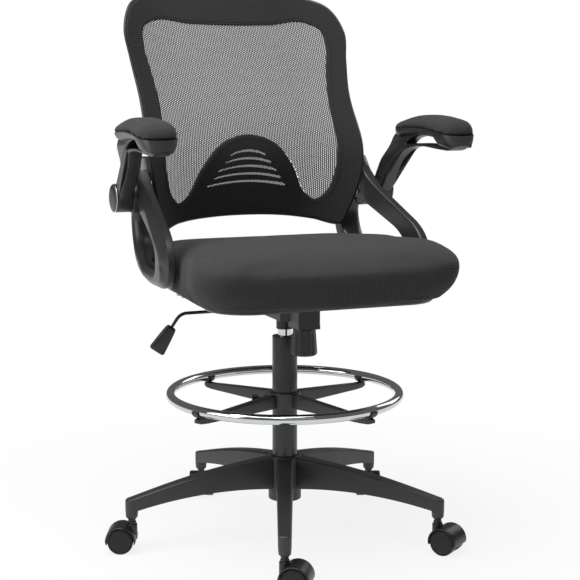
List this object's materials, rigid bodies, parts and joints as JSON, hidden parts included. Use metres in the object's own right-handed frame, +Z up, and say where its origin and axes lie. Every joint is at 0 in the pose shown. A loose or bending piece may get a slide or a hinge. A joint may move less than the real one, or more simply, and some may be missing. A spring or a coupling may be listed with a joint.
{
  "type": "drafting chair",
  "caption": "Tall office chair on a caster star base with gas lift, chrome foot ring, tilting padded seat, curved mesh back with lumbar arch, and flip-up padded arms.",
  "frame": {"origin": "on the floor under the axis of the gas column", "axes": "+Z up along the column, -Y towards the front of the seat, +X to the sitter's left"},
  "size_m": [0.7081, 0.7044, 1.1],
  "materials": {
    "base_nylon": "moulded, fine grain",
    "black_nylon": "moulded, satin",
    "wheel_nylon": "moulded, satin",
    "bracket_plastic": "moulded, fine grain",
    "column_paint": "satin powder coat",
    "mechanism_paint": "satin powder coat",
    "chrome": "bright plated",
    "steel": "zinc plated",
    "seat_fabric": "woven spacer fabric",
    "pad_fabric": "woven spacer fabric",
    "back_fabric": "woven spacer fabric",
    "mesh_fabric": "open knitted mesh"
  },
  "bodies": {
    "base": {"star_base": "base_nylon", "column_tube": "column_paint", "guide_bush": "black_nylon", "lower_race": "steel", "ball_cage": "steel"},
    "caster_1": {"caster_1_stem": "black_nylon", "caster_1_hood": "black_nylon", "caster_1_axle": "steel"},
    "wheels_1": {"caster_1_wheels": "wheel_nylon"},
    "caster_2": {"caster_2_stem": "black_nylon", "caster_2_hood": "black_nylon", "caster_2_axle": "steel"},
    "wheels_2": {"caster_2_wheels": "wheel_nylon"},
    "caster_3": {"caster_3_stem": "black_nylon", "caster_3_hood": "black_nylon", "caster_3_axle": "steel"},
    "wheels_3": {"caster_3_wheels": "wheel_nylon"},
    "caster_4": {"caster_4_stem": "black_nylon", "caster_4_hood": "black_nylon", "caster_4_axle": "steel"},
    "wheels_4": {"caster_4_wheels": "wheel_nylon"},
    "caster_5": {"caster_5_stem": "black_nylon", "caster_5_hood": "black_nylon", "caster_5_axle": "steel"},
    "wheels_5": {"caster_5_wheels": "wheel_nylon"},
    "ring": {"ring_hub": "base_nylon", "foot_ring": "chrome", "ring_clips": "black_nylon"},
    "clamp": {"clamp_knob": "black_nylon"},
    "rod": {"gas_rod": "steel", "rod_clip": "steel", "upper_race": "steel"},
    "lift": {"gas_cylinder": "chrome", "tilt_housing": "mechanism_paint", "pivot_pin": "steel", "tilt_spring": "steel"},
    "valve": {"valve_pin": "steel"},
    "lever_pivot": {"lever_bush": "black_nylon"},
    "lever": {"lever_rod": "mechanism_paint", "lever_paddle": "black_nylon"},
    "tension": {"tension_knob": "black_nylon"},
    "seat": {"seat_plate": "mechanism_paint", "plate_screws": "steel", "seat_pan": "black_nylon", "seat_cushion": "seat_fabric", "bracket_left": "bracket_plastic", "bracket_right": "bracket_plastic", "arm_pin_left": "steel", "arm_pin_right": "steel", "frame_screws": "steel", "back_frame": "bracket_plastic", "back_cover": "back_fabric", "lumbar_plate": "black_nylon", "mesh_panel": "mesh_fabric"},
    "left_arm": {"arm_left": "bracket_plastic", "arm_cap_left": "bracket_plastic", "arm_pad_left": "pad_fabric"},
    "right_arm": {"arm_right": "bracket_plastic", "arm_cap_right": "bracket_plastic", "arm_pad_right": "pad_fabric"}
  },
  "joints": [
    {"name": "caster_1_swivel", "type": "hinge", "parent": "base", "child": "caster_1", "pos_m": [-0.118, -0.29206, 0.07], "axis": [0, 0, 1], "continuous": true},
    {"name": "caster_1_roll", "type": "hinge", "parent": "caster_1", "child": "wheels_1", "pos_m": [-0.1008, -0.30411, 0.025], "axis": [0.5736, 0.8192, 0], "continuous": true},
    {"name": "caster_2_swivel", "type": "hinge", "parent": "base", "child": "caster_2", "pos_m": [0.2413, -0.20248, 0.07], "axis": [0, 0, 1], "continuous": true},
    {"name": "caster_2_roll", "type": "hinge", "parent": "caster_2", "child": "wheels_2", "pos_m": [0.25335, -0.21968, 0.025], "axis": [0.8192, 0.5736, 0], "continuous": true},
    {"name": "caster_3_swivel", "type": "hinge", "parent": "base", "child": "caster_3", "pos_m": [0.26714, 0.16692, 0.07], "axis": [0, 0, 1], "continuous": true},
    {"name": "caster_3_roll", "type": "hinge", "parent": "caster_3", "child": "wheels_3", "pos_m": [0.275, 0.1864, 0.025], "axis": [-0.9272, 0.3746, 0], "continuous": true},
    {"name": "caster_4_swivel", "type": "hinge", "parent": "base", "child": "caster_4", "pos_m": [-0.0762, 0.30564, 0.07], "axis": [0, 0, 1], "continuous": true},
    {"name": "caster_4_roll", "type": "hinge", "parent": "caster_4", "child": "wheels_4", "pos_m": [-0.06834, 0.32511, 0.025], "axis": [-0.9272, 0.3746, 0], "continuous": true},
    {"name": "caster_5_swivel", "type": "hinge", "parent": "base", "child": "caster_5", "pos_m": [-0.31423, 0.02197, 0.07], "axis": [0, 0, 1], "continuous": true},
    {"name": "caster_5_roll", "type": "hinge", "parent": "caster_5", "child": "wheels_5", "pos_m": [-0.3337, 0.02984, 0.025], "axis": [-0.3746, -0.9272, 0], "continuous": true},
    {"name": "foot_ring_slide", "type": "slide", "parent": "base", "child": "ring", "axis": [0, 0, 1], "range_m": [-0.09, 0.07]},
    {"name": "clamp_turn", "type": "hinge", "parent": "ring", "child": "clamp", "pos_m": [-0.04636, 0.01873, 0.283], "axis": [-0.9272, 0.3746, 0], "range_deg": [-360, 0]},
    {"name": "seat_swivel", "type": "hinge", "parent": "base", "child": "rod", "pos_m": [0, 0, 0.1], "axis": [0, 0, 1], "continuous": true},
    {"name": "seat_lift", "type": "slide", "parent": "rod", "child": "lift", "axis": [0, 0, 1], "range_m": [0, 0.2]},
    {"name": "valve_press", "type": "slide", "parent": "lift", "child": "valve", "axis": [0, 0, -1], "range_m": [0, 0.0026]},
    {"name": "lever_lift", "type": "hinge", "parent": "lift", "child": "lever_pivot", "pos_m": [-0.024, 0, 0.47], "axis": [0, 1, 0], "range_deg": [0, 6], "stiffness_Nm_per_rad": 3, "springref_deg": -5.73},
    {"name": "lever_pull", "type": "slide", "parent": "lever_pivot", "child": "lever", "axis": [-1, 0, 0], "range_m": [0, 0.01]},
    {"name": "tension_turn", "type": "hinge", "parent": "lift", "child": "tension", "pos_m": [0, -0.1, 0.42], "axis": [0, 0, 1], "range_deg": [-720, 720]},
    {"name": "seat_tilt", "type": "hinge", "parent": "lift", "child": "seat", "pos_m": [0, -0.04, 0.484], "axis": [-1, 0, 0], "range_deg": [0, 12], "stiffness_Nm_per_rad": 160, "springref_deg": -17.19},
    {"name": "arm_left_flip", "type": "hinge", "parent": "seat", "child": "left_arm", "pos_m": [0.283, 0.16, 0.683], "axis": [-1, 0, 0], "range_deg": [0, 90]},
    {"name": "arm_right_flip", "type": "hinge", "parent": "seat", "child": "right_arm", "pos_m": [-0.283, 0.16, 0.683], "axis": [-1, 0, 0], "range_deg": [0, 90]}
  ],
  "couplings": [
    {"joint": "valve_press", "follows": "lever_lift", "m_per_rad": 0.024}
  ]
}
